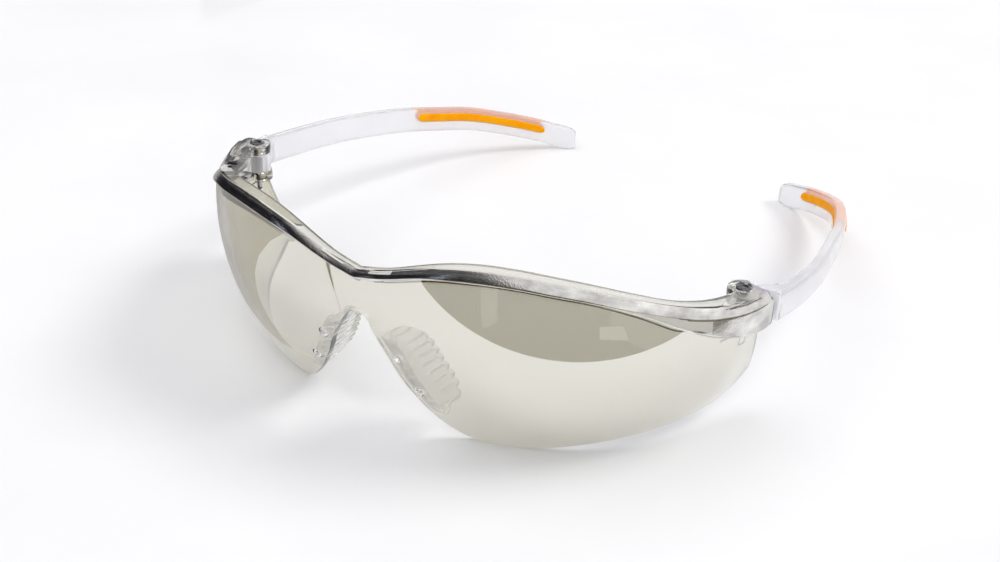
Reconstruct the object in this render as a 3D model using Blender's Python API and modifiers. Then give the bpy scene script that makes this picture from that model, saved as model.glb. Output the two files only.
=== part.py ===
"""Safety glasses: a wrap-round one-piece shield with a brow ledge, nose pads on pegs,
and two temples with soft grips that fold on upright hinge pins.

The glasses stand open on their lens bottoms and temple tips, with the lenses facing -Y.
The wearer's left is +X. Lengths are in metres.
"""

import math

import bmesh
import bpy
from mathutils import Vector

MM = 0.001

# Overall sizes
HALF_WIDTH = 72.8 * MM  # middle plane to the outer face of the hinge block
HINGE_Y = -36.7 * MM  # hinge axes, which puts the origin under the middle of the glasses
HINGE_TOP = 35.9 * MM
TEMPLE_REACH = 119.0 * MM  # hinge axis to temple tip, along Y
TEMPLE_INSET = 36.0 * MM  # how far the tip curves in

# Lens surface: part of an ellipsoid for each eye, joined over the bridge
LENS_CENTRE_X = 15.0 * MM
LENS_CENTRE_Y = HINGE_Y + 16.0 * MM
LENS_CENTRE_Z = 31.0 * MM
LENS_RADIUS_Y = 62.1 * MM
LENS_RADIUS_Z = 59.5 * MM
LENS_RAKE = 0.04  # how far the lens leans forward for each unit of height
BRIDGE_FLATTEN = 0.4  # share of the curve that is left across the bridge
LENS_THICKNESS = 2.0 * MM
BLOCK_START = 52.0  # degrees round the lens, from straight ahead, at which the hinge block begins
BLOCK_FULL = 74.0  # ... at which it has its full section
BLOCK_END = 78.0  # ... at which it ends
LENS_SWEEP = 3.5  # degrees by which the lens's lower rear corner reaches further back
SWEEP_START = 66.0
BRIDGE_ANGLE = -15.4  # degrees at which the two lens surfaces meet
NOSE_END = 12.0  # degrees at which the nose edge has turned into the lower edge

# Brow ledge and hinge block
BROW_BEVEL = 1.8 * MM
LEDGE_DEPTH = 3.0 * MM  # behind the bevel, along the brow
BRIDGE_LEDGE_DEPTH = 1.4 * MM
LEDGE_GROWTH = 28.0  # degrees in which the ledge grows from the bridge to its depth along the brow
BLOCK_LEDGE_DEPTH = 4.2 * MM
LEDGE_THICKNESS = 1.6 * MM
STEP_RISE = 0.35 * MM  # height of the small step between lens and brow
STEP_ABOVE_LENS = 0.6 * MM  # how far the brow stands out from the lens
BLOCK_ABOVE_LENS = 3.6 * MM  # how far the hinge block stands out from it
WALL_THICKNESS = 2.2 * MM
WALL_OVERLAP = 0.7 * MM  # how far the brow's wall reaches down behind the lens
WALL_ABOVE_BORDER = 1.0 * MM  # the least height of the block's pocket floor over the lens border
BACK_STEP = 0.4 * MM  # below that floor, where the lens's back begins
POCKET_RISE = 2.5  # how much faster than the block the pocket floor reaches its level

# Hinge
FIT = 0.3 * MM  # clearance between pieces
PIN_RADIUS = 0.9 * MM
PIN_HEAD_RADIUS = 1.6 * MM
PIN_HEAD_HEIGHT = 0.7 * MM
KNUCKLE_RADIUS = 3.1 * MM
KNUCKLE_HEIGHT = 4.5 * MM
LUG_THICKNESS = 2.4 * MM
LUG_MARGIN = 0.3 * MM  # how far a lug reaches past the knuckle
LUG_SINK = 0.15 * MM  # upper lug below the top of the ledge
PIN_ANGLE = 73.0  # degrees round the lens at which the block's wall passes the pin

# Temples
TEMPLE_THICKNESS = 3.0 * MM
TEMPLE_HEIGHT = 7.5 * MM
TIP_PRESS = 1.1 * MM  # how much of the tip's lower side is cut flat by the table
ARM_DROP = 1.1 * MM  # middle of the arm below the middle of the knuckle
CORNER_CUT = 0.35  # cut corners, as a share of the bar's smaller half
GRIP_HEIGHT = 3.0 * MM
GRIP_LIFT = 1.2 * MM  # grip above the arm's middle
GRIP_PROUD = 0.3 * MM
GRIP_START = 0.595  # shares of the temple's reach
GRIP_END = 0.950

# Nose pads
PAD_TOP = 25.4 * MM
PAD_BOTTOM = 8.2 * MM
PAD_DEPTH = 9.6 * MM
PAD_THICKNESS = 2.0 * MM
PAD_RAIL_WIDTH = 4.2 * MM
PAD_FLARE = 0.8 * MM
PAD_RIBS = 9
PAD_TAPER = 0.45  # share of its depth that a pad loses at its ends
PAD_EDGE = 0.6 * MM  # rounding of its rear edge
RIB_HEIGHT = 0.5 * MM
PEG_RADIUS = 1.1 * MM
PEG_INSET = 2.6 * MM  # nose edge to the pegs
PEG_HEIGHTS = (21.6 * MM, 13.6 * MM)

# Heights, in mm, at angles round the lens, in degrees: the lens's lower edge, its upper
# border and the top of the brow
LOWER_EDGE = ((-15.4, 30.6), (-13.2, 29.8), (-10.9, 26.2), (-8, 21.4), (-5.8, 16.6), (-2.7, 11.3),
              (0.7, 6.8), (5.2, 2.8), (9.5, 0.7), (13, 0.0), (20, 0.0), (26, 0.4), (34, 1.6),
              (44, 2.8), (55, 3.8), (66, 4.4), (71, 5.2), (75.5, 7.4), (78, 11.5))
UPPER_BORDER = ((-15.4, 38.2), (-8.6, 39.7), (2.6, 43.1), (12.2, 44.4), (21.2, 44.4), (29.6, 43.3),
                (38, 41.5), (46.6, 38.2), (55.7, 33.2), (62.9, 29.6), (71, 27.4), (78, 26.8))
BROW_TOP = ((-15.4, 40.1), (-8.6, 41.6), (2.6, 45.2), (12.2, 46.8), (21.2, 46.8), (29.6, 45.7),
            (38, 43.9), (46.6, 41.3), (55.7, 38.2), (62.9, 36.6), (70, 36.0), (78, 35.9))
# Temple centre line: shares of TEMPLE_REACH, TEMPLE_INSET and the drop from hinge to tip
TEMPLE_LINE = ((0.0, 0.012, -0.035), (0.0477, 0.0, 0.0), (0.17, -0.028, 0.09),
               (0.30, -0.020, 0.17), (0.425, 0.034, 0.257), (0.55, 0.097, 0.365), (0.66, 0.188, 0.48), (0.77, 0.31, 0.60), (0.86, 0.476, 0.735),
               (0.936, 0.687, 0.865), (0.98, 0.875, 0.96), (1.0, 1.0, 1.0))

LENS_ROWS = 8
COLUMN_STEP = 3.4  # degrees between sections of the shield
NOSE_STEP = 1.6
ROUND_SIDES = 20


def through(points, x):
    """The smooth curve through the points, read at x."""
    last = len(points) - 1
    i = max(0, min(last - 1, sum(p[0] <= x for p in points) - 1))

    def slope(j):
        a, b = points[max(0, j - 1)], points[min(last, j + 1)]
        return (b[1] - a[1]) / (b[0] - a[0])

    (x0, y0), (x1, y1) = points[i], points[i + 1]
    span = x1 - x0
    t = (x - x0) / span
    return ((1 + 2 * t) * (1 - t) ** 2 * y0 + t * (1 - t) ** 2 * span * slope(i)
            + t * t * (3 - 2 * t) * y1 + t * t * (t - 1) * span * slope(i + 1))


def ease(t):
    t = max(0.0, min(1.0, t))
    return t * t * (3 - 2 * t)


# ---------------------------------------------------------------- scene helpers

def clear_scene():
    for obj in list(bpy.data.objects):
        bpy.data.objects.remove(obj, do_unlink=True)


def new_collection(name, hidden=False):
    collection = bpy.data.collections.new(name)
    bpy.context.scene.collection.children.link(collection)
    collection.hide_render = hidden
    return collection


def new_material(name, colour, roughness, metallic=0.0, alpha=1.0):
    material = bpy.data.materials.new(name)
    material.use_nodes = True
    shader = material.node_tree.nodes["Principled BSDF"]
    shader.inputs["Base Color"].default_value = (*colour, 1.0)
    shader.inputs["Roughness"].default_value = roughness
    shader.inputs["Metallic"].default_value = metallic
    shader.inputs["Alpha"].default_value = alpha
    material.diffuse_color = (*colour, alpha)
    return material


def object_from(bm, name, collection, material=None, parent=None):
    """A new object from the bmesh, whose points are in world space."""
    bmesh.ops.remove_doubles(bm, verts=bm.verts, dist=1e-6)
    bmesh.ops.recalc_face_normals(bm, faces=bm.faces)
    if parent:
        bmesh.ops.translate(bm, verts=bm.verts, vec=-parent.location)
    mesh = bpy.data.meshes.new(name)
    bm.to_mesh(mesh)
    bm.free()
    mesh.shade_smooth()
    mesh.set_sharp_from_angle(angle=math.radians(35))
    obj = bpy.data.objects.new(name, mesh)
    obj.parent = parent
    if material:
        mesh.materials.append(material)
    collection.objects.link(obj)
    return obj


def as_cutter(obj):
    obj.hide_render = True
    obj.display_type = "WIRE"
    return obj


def boolean(obj, other, operation):
    modifier = obj.modifiers.new(other.name, "BOOLEAN")
    modifier.operation = operation
    modifier.solver = "EXACT"
    modifier.object = other


def loft(sections):
    """A closed bmesh through rings of points, with a flat cap on both ends."""
    bm = bmesh.new()
    rings = [[bm.verts.new(point) for point in section] for section in sections]
    for ring, after in zip(rings, rings[1:]):
        for i in range(len(ring)):
            k = (i + 1) % len(ring)
            bm.faces.new((ring[i], ring[k], after[k], after[i]))
    bm.faces.new(rings[0])
    bm.faces.new(reversed(rings[-1]))
    return bm


def prism(outline, low, high):
    return loft([[(x, y, z) for x, y in outline] for z in (low, high)])


def cylinder(centre, axis, radius, low, high):
    """A cylinder round the axis through the centre, between two distances along it."""
    bm = bmesh.new()
    bmesh.ops.create_cone(bm, cap_ends=True, segments=ROUND_SIDES, radius1=radius, radius2=radius,
                          depth=high - low)
    axis = Vector(axis).normalized()
    turn = Vector((0, 0, 1)).rotation_difference(axis).to_matrix()
    bmesh.ops.rotate(bm, verts=bm.verts, matrix=turn)
    bmesh.ops.translate(bm, verts=bm.verts, vec=Vector(centre) + axis * (low + high) / 2)
    return bm


# ---------------------------------------------------------------- shield

def lens_radius_x():
    """The block's outer face, at its full section, reaches HALF_WIDTH at the lens's widest height."""
    reach = HALF_WIDTH - BLOCK_ABOVE_LENS - LENS_CENTRE_X
    return reach / math.sin(math.radians(BLOCK_FULL + 1.5))


def outward(angle):
    """The level direction that points out of the lens."""
    if angle <= BRIDGE_ANGLE:
        return Vector((0, -1, 0))
    turn = math.radians(angle if angle > 0 else angle * BRIDGE_FLATTEN)
    return Vector((math.sin(turn) / lens_radius_x(), -math.cos(turn) / LENS_RADIUS_Y, 0)).normalized()


def lens_point(angle, height, out=0.0):
    """The point of the lens surface at an angle and a height, moved out level by a distance."""
    rise = (height - LENS_CENTRE_Z) / LENS_RADIUS_Z
    spread = math.sqrt(1 - rise * rise)
    radius = lens_radius_x() * spread
    turn = math.radians(angle)
    if angle < 0:
        meet = -math.asin(LENS_CENTRE_X / radius)
        turn = meet * angle / BRIDGE_ANGLE
        x = LENS_CENTRE_X + radius * math.sin(turn)
        turn *= BRIDGE_FLATTEN
    else:
        x = LENS_CENTRE_X + radius * math.sin(turn)
    y = LENS_CENTRE_Y - LENS_RADIUS_Y * spread * math.cos(turn) - LENS_RAKE * (height - LENS_CENTRE_Z)
    return Vector((x, y, height)) + outward(angle) * out


def block_share(angle):
    """0 along the brow, 1 at the hinge block."""
    return ease((angle - BLOCK_START) / (BLOCK_FULL - BLOCK_START))


def stand_out(angle):
    return STEP_ABOVE_LENS + (BLOCK_ABOVE_LENS - STEP_ABOVE_LENS) * block_share(angle)


def brow_top(angle):
    return through(BROW_TOP, angle) * MM + (HINGE_TOP - BROW_TOP[-1][1] * MM) * block_share(angle)


def shield_section(angle):
    """The closed outline of the shield at an angle: up its face, over the ledge and down its back."""
    low = max(0.0, through(LOWER_EDGE, angle) * MM)
    border = through(UPPER_BORDER, angle) * MM
    top = brow_top(angle)
    share = block_share(angle)
    out = stand_out(angle)
    growth = ease((angle - BRIDGE_ANGLE) / LEDGE_GROWTH)
    depth = BRIDGE_LEDGE_DEPTH + (LEDGE_DEPTH - BRIDGE_LEDGE_DEPTH) * growth
    ledge_in = out - BROW_BEVEL - depth - (BLOCK_LEDGE_DEPTH - LEDGE_DEPTH) * share
    ledge_thickness = LEDGE_THICKNESS + (LUG_THICKNESS - LEDGE_THICKNESS) * share
    wall_in = out - WALL_THICKNESS
    block_floor = knuckle_levels()[0] - FIT
    rise = block_floor - FIT - through(UPPER_BORDER, BLOCK_END) * MM
    pocket_floor = border - WALL_OVERLAP + (rise + WALL_OVERLAP) * ease(share * POCKET_RISE)
    pocket_floor = min(pocket_floor, max(block_floor, border + WALL_ABOVE_BORDER))
    rows = [i / LENS_ROWS for i in range(LENS_ROWS + 1)]
    back_top = pocket_floor - BACK_STEP
    sweep = LENS_SWEEP * ease((angle - SWEEP_START) / (BLOCK_END - SWEEP_START))
    face = [lens_point(angle + sweep * (1 - t), low + (border - low) * t) for t in rows]
    back = [lens_point(angle + sweep * t, back_top + (low - back_top) * t, -LENS_THICKNESS)
            for t in rows]

    def brow(offset, height):
        point = lens_point(angle, border, offset)
        return Vector((point.x, point.y, height))

    frame = [brow(out, border + STEP_RISE), brow(out, max(top - BROW_BEVEL, border + 2 * STEP_RISE)),
             brow(out - BROW_BEVEL, top), brow(ledge_in, top), brow(ledge_in, top - ledge_thickness),
             brow(wall_in, top - ledge_thickness), brow(wall_in, pocket_floor)]
    section = face + frame + back
    if angle <= BRIDGE_ANGLE:
        for point in section:
            point.x = 0.0
    return section


def section_angles():
    angles = [BRIDGE_ANGLE]
    while angles[-1] + COLUMN_STEP < BLOCK_END:
        angles.append(angles[-1] + (NOSE_STEP if angles[-1] < NOSE_END else COLUMN_STEP))
    return angles + [BLOCK_END]


def hinge_axis(side):
    """The pin's place: its knuckle clears the wall of the block."""
    wall = lens_point(PIN_ANGLE, HINGE_TOP - LUG_THICKNESS, stand_out(PIN_ANGLE) - WALL_THICKNESS).x
    return Vector((side * (wall - FIT - KNUCKLE_RADIUS), HINGE_Y, 0))


def temple_start():
    """The share of its reach at which the arm begins, just behind the hinge block."""
    rear = lens_point(BLOCK_END, LENS_CENTRE_Z, stand_out(BLOCK_END) - BROW_BEVEL - BLOCK_LEDGE_DEPTH).y
    return (rear + 2 * FIT - HINGE_Y) / TEMPLE_REACH


def knuckle_levels():
    top = HINGE_TOP - LUG_THICKNESS - FIT
    return top - KNUCKLE_HEIGHT, top


def lug_outline(side, in_block):
    """Round the pin on the inside, and into the wall of the block, or of the lens, on the outside."""
    pin = hinge_axis(1)
    radius = KNUCKLE_RADIUS + LUG_MARGIN
    arc = [(pin.x + radius * math.cos(turn), pin.y + radius * math.sin(turn))
           for turn in (math.radians(90 + 18 * i) for i in range(10))]
    wall = []
    for back in (16, 11, 6, 1):
        angle = BLOCK_END - back
        out = stand_out(angle) - WALL_THICKNESS / 2 if in_block else -LENS_THICKNESS / 2
        wall.append(lens_point(angle, LENS_CENTRE_Z, out))
    return [(side * x, y) for x, y in arc + [(p.x, p.y) for p in wall]]


def nose_edge_angle(height):
    """The angle at which the lower edge passes a height beside the nose."""
    low, high = BRIDGE_ANGLE, NOSE_END
    for _ in range(30):
        middle = (low + high) / 2
        if through(LOWER_EDGE, middle) * MM > height:
            low = middle
        else:
            high = middle
    return low


def nose_point(height, inset, back):
    """A point beside the nose edge: inset from the edge along the lens, and back from its inner face."""
    edge = nose_edge_angle(height)
    angle = edge + math.degrees(inset / lens_radius_x())
    return lens_point(angle, height, -LENS_THICKNESS - back)


def make_shield(parts, cutters, material):
    bm = loft([shield_section(angle) for angle in section_angles()])
    end_cap = [face for face in bm.faces if all(abs(v.co.x) < 1e-7 for v in face.verts)]
    bmesh.ops.delete(bm, geom=end_cap, context="FACES_ONLY")
    shield = object_from(bm, "front_shield", parts, material)
    mirror = shield.modifiers.new("other side", "MIRROR")
    mirror.use_axis[0] = True
    mirror.merge_threshold = 0.00002

    knuckle_low, knuckle_top = knuckle_levels()
    for side, word in ((1, "left"), (-1, "right")):
        pin = hinge_axis(side)
        for level, low, high in (
            ("upper", knuckle_top + FIT, HINGE_TOP - LUG_SINK),
            ("lower", knuckle_low - FIT - LUG_THICKNESS, knuckle_low - FIT),
        ):
            outline = lug_outline(side, in_block=level == "upper")
            lug = object_from(prism(outline, low, high), f"{level}_lug_{word}", cutters)
            boolean(shield, as_cutter(lug), "UNION")
        hole = cylinder(pin, (0, 0, 1), PIN_RADIUS + FIT, knuckle_low - 2 * LUG_THICKNESS,
                        HINGE_TOP + LUG_THICKNESS)
        boolean(shield, as_cutter(object_from(hole, f"pin_hole_{word}", cutters)), "DIFFERENCE")
        seat_floor = HINGE_TOP - PIN_HEAD_HEIGHT - FIT
        seat = cylinder(pin, (0, 0, 1), PIN_HEAD_RADIUS + FIT, seat_floor, HINGE_TOP + LUG_THICKNESS)
        boolean(shield, as_cutter(object_from(seat, f"pin_seat_{word}", cutters)), "DIFFERENCE")
        for number, height in enumerate(PEG_HEIGHTS, 1):
            start, axis = peg_line(side, height)
            hole = cylinder(start, axis, PEG_RADIUS + FIT, -2 * LENS_THICKNESS, 2 * LENS_THICKNESS)
            cutter = object_from(hole, f"peg_hole_{number}_{word}", cutters)
            boolean(shield, as_cutter(cutter), "DIFFERENCE")
    return shield


# ---------------------------------------------------------------- nose pads

def peg_line(side, height):
    """A point in the middle of the lens's wall, and the direction out through it."""
    inner = nose_point(height, PEG_INSET, 0)
    outer = nose_point(height, PEG_INSET, -LENS_THICKNESS)
    middle = (inner + outer) / 2
    axis = outer - inner
    return Vector((side * middle.x, middle.y, middle.z)), Vector((side * axis.x, axis.y, axis.z))


def make_nose_pad(side, name, parts, cutters, material):
    """A rail behind the lens and a ribbed wing that runs back from it."""
    stations = PAD_RIBS * 4
    sections = []
    for i in range(stations + 1):
        t = i / stations
        height = PAD_TOP + (PAD_BOTTOM - PAD_TOP) * t
        rib = RIB_HEIGHT * abs(math.sin(math.pi * PAD_RIBS * t))
        end = 1 - PAD_TAPER * (2 * t - 1) ** 4
        depth = PAD_DEPTH * end + rib
        front = nose_point(height, FIT, FIT)
        rail = nose_point(height, PAD_RAIL_WIDTH, FIT)
        wing = PAD_THICKNESS + rib
        outline = [
            (front.x, front.y),
            (rail.x, rail.y),
            (rail.x, rail.y + PAD_THICKNESS),
            (front.x + PAD_THICKNESS + 1.2 * MM, rail.y + PAD_THICKNESS + 0.2 * MM),
            (front.x + wing + PAD_FLARE * 0.4, front.y + depth * 0.5),
            (front.x + wing + PAD_FLARE, front.y + depth - PAD_EDGE),
            (front.x + wing / 2 + PAD_FLARE, front.y + depth),
            (front.x + PAD_FLARE - rib / 2, front.y + depth - PAD_EDGE),
            (front.x + PAD_FLARE * 0.4 - rib / 2, front.y + depth * 0.5),
            (front.x - rib / 2 * 0.5, front.y + PAD_THICKNESS + 0.4 * MM),
        ]
        sections.append([(side * x, y, height) for x, y in outline])
    pad = object_from(loft(sections), name, parts, material)
    for number, height in enumerate(PEG_HEIGHTS, 1):
        start, axis = peg_line(side, height)
        reach = LENS_THICKNESS / 2
        peg = cylinder(start, axis, PEG_RADIUS, -reach - PAD_THICKNESS, reach - 0.1 * MM)
        boolean(pad, as_cutter(object_from(peg, f"{name}_peg_{number}", cutters)), "UNION")
    return pad


# ---------------------------------------------------------------- temples

def temple_point(share, side):
    """The centre line of the temple, at a share of its reach."""
    inset = through([(a, b) for a, b, _ in TEMPLE_LINE], share) * TEMPLE_INSET
    low, top = knuckle_levels()
    start = (low + top) / 2 - ARM_DROP
    drop = start - TEMPLE_HEIGHT / 2 + TIP_PRESS
    height = start - drop * through([(a, c) for a, _, c in TEMPLE_LINE], share)
    x = HALF_WIDTH - TEMPLE_THICKNESS / 2 - inset
    return Vector((side * x, HINGE_Y + TEMPLE_REACH * share, height))


def temple_normal(share, side):
    ahead = temple_point(min(1.0, share + 0.004), side) - temple_point(share - 0.004, side)
    return Vector((side * ahead.y, -side * ahead.x, 0)).normalized()


def bar_section(share, side, half_width, half_height, lift=0.0):
    """A rectangle with cut corners across the temple's line. Its lower side never goes below the table."""
    centre = temple_point(share, side)
    normal = temple_normal(share, side)
    cut = min(half_width, half_height) * CORNER_CUT
    ring = []
    for u, v in ((-1, -1), (1, -1), (1, 1), (-1, 1)):
        corners = [(u * half_width, v * (half_height - cut)), (u * (half_width - cut), v * half_height)]
        for w, h in corners if u * v > 0 else reversed(corners):
            point = centre + normal * w
            ring.append((point.x, point.y, max(0.0, centre.z + lift + h)))
    return ring


def grip_bar(side, extra):
    """The grip's shape: a bar with round ends through the temple, larger all round by extra."""
    half_height = GRIP_HEIGHT / 2 + extra
    half_width = TEMPLE_THICKNESS / 2 + GRIP_PROUD + extra * 4
    ends = (GRIP_START - extra / TEMPLE_REACH, GRIP_END + extra / TEMPLE_REACH * 0.6)
    rounds = (0.06, 0.35, 0.7, 1.0)
    radius = half_height / TEMPLE_REACH
    middle = 14
    stations = [(ends[0] + radius * t, math.sqrt(1 - (1 - t) ** 2)) for t in rounds]
    first, last = ends[0] + radius, ends[1] - radius * 0.55
    stations += [(first + (last - first) * i / middle, 1.0) for i in range(1, middle)]
    stations += [(ends[1] - radius * 0.55 * t, math.sqrt(1 - (1 - t) ** 2)) for t in reversed(rounds)]
    return loft([bar_section(share, side, half_width, half_height * size, GRIP_LIFT)
                 for share, size in stations])


def make_temple(side, name, parts, cutters, material, hinge):
    first = temple_start()
    tip_radius = TEMPLE_HEIGHT / 2 / TEMPLE_REACH * 0.6
    shares = [first + (1 - tip_radius - first) * i / 26 for i in range(27)]
    sections = [bar_section(s, side, TEMPLE_THICKNESS / 2, TEMPLE_HEIGHT / 2) for s in shares]
    for t in (0.6, 0.9, 1.0):
        size = math.sqrt(1 - 0.75 * t * t)
        sections.append(bar_section(1 - tip_radius * (1 - t), side, TEMPLE_THICKNESS / 2 * size,
                                    TEMPLE_HEIGHT / 2 * size))
    temple = object_from(loft(sections), name, parts, material, hinge)
    pin = hinge_axis(1)
    low, top = knuckle_levels()
    front = HINGE_Y + TEMPLE_REACH * first
    inner, outer = HALF_WIDTH - TEMPLE_THICKNESS, HALF_WIDTH
    neck = [(pin.x - KNUCKLE_RADIUS * 0.75, pin.y), (pin.x + KNUCKLE_RADIUS * 0.9, pin.y),
            (inner - 0.1 * MM, front + 0.1 * MM), (outer - 0.5 * MM, front + 0.2 * MM),
            (outer - 0.4 * MM, front + 4 * MM), (inner + 0.5 * MM, front + 4 * MM),
            (pin.x + 0.5 * MM, front + 0.8 * MM)]
    shapes = (("neck", prism([(side * x, y) for x, y in neck], low, top)),
              ("knuckle", cylinder(hinge_axis(side), (0, 0, 1), KNUCKLE_RADIUS, low - 1e-5, top + 1e-5)))
    for word, bm in shapes:
        boolean(temple, as_cutter(object_from(bm, f"{name}_{word}", cutters, None, hinge)), "UNION")
    bore = cylinder(hinge_axis(side), (0, 0, 1), PIN_RADIUS + FIT, low - 1 * MM, top + 1 * MM)
    boolean(temple, as_cutter(object_from(bore, f"{name}_bore", cutters, None, hinge)), "DIFFERENCE")
    slot = object_from(grip_bar(side, FIT), f"{name}_slot", cutters, None, hinge)
    boolean(temple, as_cutter(slot), "DIFFERENCE")
    return temple


def make_pin(side, name, parts, cutters, material):
    low, _ = knuckle_levels()
    head_top = HINGE_TOP
    head_low = head_top - PIN_HEAD_HEIGHT
    pin = object_from(cylinder(hinge_axis(side), (0, 0, 1), PIN_RADIUS, low - FIT - LUG_THICKNESS, head_top),
                      name, parts, material)
    head = cylinder(hinge_axis(side), (0, 0, 1), PIN_HEAD_RADIUS, head_low, head_top + 0.1 * MM)
    boolean(pin, as_cutter(object_from(head, f"{name}_head", cutters)), "UNION")
    return pin


def main():
    clear_scene()
    parts = new_collection("safety_glasses")
    cutters = new_collection("cutters", hidden=True)
    lens = new_material("clear_mirror_polycarbonate", (0.78, 0.76, 0.71), 0.05, alpha=0.45)
    arm = new_material("clear_temple_plastic", (0.86, 0.86, 0.92), 0.12, alpha=0.5)
    soft = new_material("clear_soft_pad", (0.85, 0.85, 0.82), 0.3, alpha=0.6)
    orange = new_material("orange_rubber", (0.95, 0.36, 0.01), 0.5)
    steel = new_material("dark_steel", (0.08, 0.08, 0.09), 0.3, metallic=1.0)

    make_shield(parts, cutters, lens)
    for side, word in ((1, "left"), (-1, "right")):
        hinge = bpy.data.objects.new(f"hinge_{word}", None)
        hinge.location = hinge_axis(side)
        parts.objects.link(hinge)
        make_nose_pad(side, f"nose_pad_{word}", parts, cutters, soft)
        make_temple(side, f"temple_{word}", parts, cutters, arm, hinge)
        object_from(grip_bar(side, 0.0), f"temple_grip_{word}", parts, orange, hinge)
        make_pin(side, f"hinge_pin_{word}", parts, cutters, steel)


main()
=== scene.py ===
import math

import bmesh
import bpy
from mathutils import Matrix, Vector


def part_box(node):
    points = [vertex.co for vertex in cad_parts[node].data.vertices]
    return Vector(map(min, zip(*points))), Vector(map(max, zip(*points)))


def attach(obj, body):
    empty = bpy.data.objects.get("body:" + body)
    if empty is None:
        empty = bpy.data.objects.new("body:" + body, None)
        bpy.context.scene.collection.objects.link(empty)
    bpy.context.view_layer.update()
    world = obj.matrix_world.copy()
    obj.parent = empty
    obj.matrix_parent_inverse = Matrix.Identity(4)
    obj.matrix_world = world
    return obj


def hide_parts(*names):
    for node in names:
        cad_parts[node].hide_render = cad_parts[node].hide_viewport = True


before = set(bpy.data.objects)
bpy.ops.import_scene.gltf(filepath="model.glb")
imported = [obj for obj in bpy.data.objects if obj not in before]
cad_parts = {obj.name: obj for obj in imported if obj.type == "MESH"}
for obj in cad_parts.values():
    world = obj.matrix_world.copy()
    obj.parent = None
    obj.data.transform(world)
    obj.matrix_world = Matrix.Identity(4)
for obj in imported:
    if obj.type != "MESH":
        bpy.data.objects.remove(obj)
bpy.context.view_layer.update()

# Safety glasses on a pale table: a clear wrap-round shield with a light mirror coating, soft ribbed
# nose pads, clear temples with orange grips, and dark hinge pins. Lengths are in metres.

MM = 0.001
SIDES = ((1, "left"), (-1, "right"))

# Places that come from the frame
PIN_LOW, PIN_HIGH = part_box("hinge_pin_left")
PAD_LOW, PAD_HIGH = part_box("nose_pad_left")
PIN_X = (PIN_LOW.x + PIN_HIGH.x) / 2
HINGE_Y = (PIN_LOW.y + PIN_HIGH.y) / 2

# Sizes that drive the rest
HINGE_TOP = 35.9 * MM
HALF_WIDTH = 72.8 * MM
CORNER_REACH = 0.45  # the most of a side that a rounded corner takes

# Lens surface: part of an ellipsoid for each eye, joined over the bridge
LENS_CENTRE = Vector((15.0 * MM, HINGE_Y + 16.0 * MM, 31.0 * MM))
LENS_RADIUS = Vector((55.98 * MM, 62.06 * MM, 59.5 * MM))
LENS_RAKE = 0.04
LENS_THICKNESS = 2.0 * MM
BRIDGE_ANGLE = -15.4
BRIDGE_FLATTEN, BRIDGE_SETBACK = 0.4, 1.2
BLOCK_START, BLOCK_FULL, BLOCK_END = 52.0, 74.0, 78.0
SWEEP_START, LENS_SWEEP = 66.0, 3.5
END_ROUND, END_DROP, END_TUCK = 3.2, 1.2 * MM, 0.8 * MM  # the block's rear end turns over
# The moulded bridge's edge: its angle, its lean in degrees per metre, and the width of its slope in degrees
ZONE_ANGLE, ZONE_LEAN, ZONE_SPAN = -8.6, 310.0, 0.9
ZONE_HEIGHT, ZONE_STEP = 38.0 * MM, 0.22 * MM
ZONE_FINE = (-13.0, -6.0)

# Brow and hinge block
BROW_BEVEL, BROW_CROWN = 1.8 * MM, 0.06 * MM
LEDGE_DEPTH, BRIDGE_LEDGE_DEPTH, BLOCK_LEDGE_DEPTH = 3.0 * MM, 1.4 * MM, 4.2 * MM
LEDGE_THICKNESS = 1.6 * MM
LEDGE_GROWTH = 28  # degrees from the bridge over which the ledge reaches its full depth
STEP_RISE, STEP_ABOVE_LENS, BLOCK_ABOVE_LENS = 0.35 * MM, 0.6 * MM, 3.6 * MM
WALL_THICKNESS, WALL_BELOW_BORDER = 2.2 * MM, 0.7 * MM
FLOOR_RATE, FLOOR_ABOVE_BORDER, BACK_BELOW_FLOOR = 2.5, 1.0 * MM, 0.4 * MM  # the pocket's floor
FIT = 0.3 * MM
SKIN = 0.01 * MM  # how far the brow stays inside the solid's top
LENS_EDGE_RADIUS, REAR_EDGE = 0.7 * MM, 0.35 * MM
PIN_RADIUS, PIN_HEAD_RADIUS, PIN_HEAD_HEIGHT = 0.9 * MM, 1.6 * MM, 0.7 * MM
ROUND_SIDES = 64  # of the pins and the knuckles
# The top of the pin's head, from its rim to its dished middle: radius, and height over the hinge's top, in mm
PIN_HEAD = ((1.5, -0.08), (1.34, 0.0), (1.05, -0.02), (0.92, -0.22), (0.6, -0.26), (0.0, -0.2))
PIN_TIP_RADIUS, PIN_TIP_HEIGHT = 0.7 * MM, 0.2 * MM
HEAD_SEAT_RADIUS, HEAD_SEAT_HEIGHT, HEAD_RIM_DROP = 1.45 * MM, 0.15 * MM, 0.25 * MM
KNUCKLE_RADIUS, LUG_MARGIN, LUG_SINK = 3.1 * MM, 0.3 * MM, 0.05 * MM
LUG_ANGLES = (62, 66, 70, 74)
LUG_ARC_START, LUG_ARC, LUG_ARC_STEPS = 90, 160, 20
LUG_THICKNESS, LUG_EDGE = 2.4 * MM, 0.3 * MM
KNUCKLE_TOP = HINGE_TOP - LUG_THICKNESS - FIT
KNUCKLE_LOW = KNUCKLE_TOP - 4.5 * MM

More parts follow.
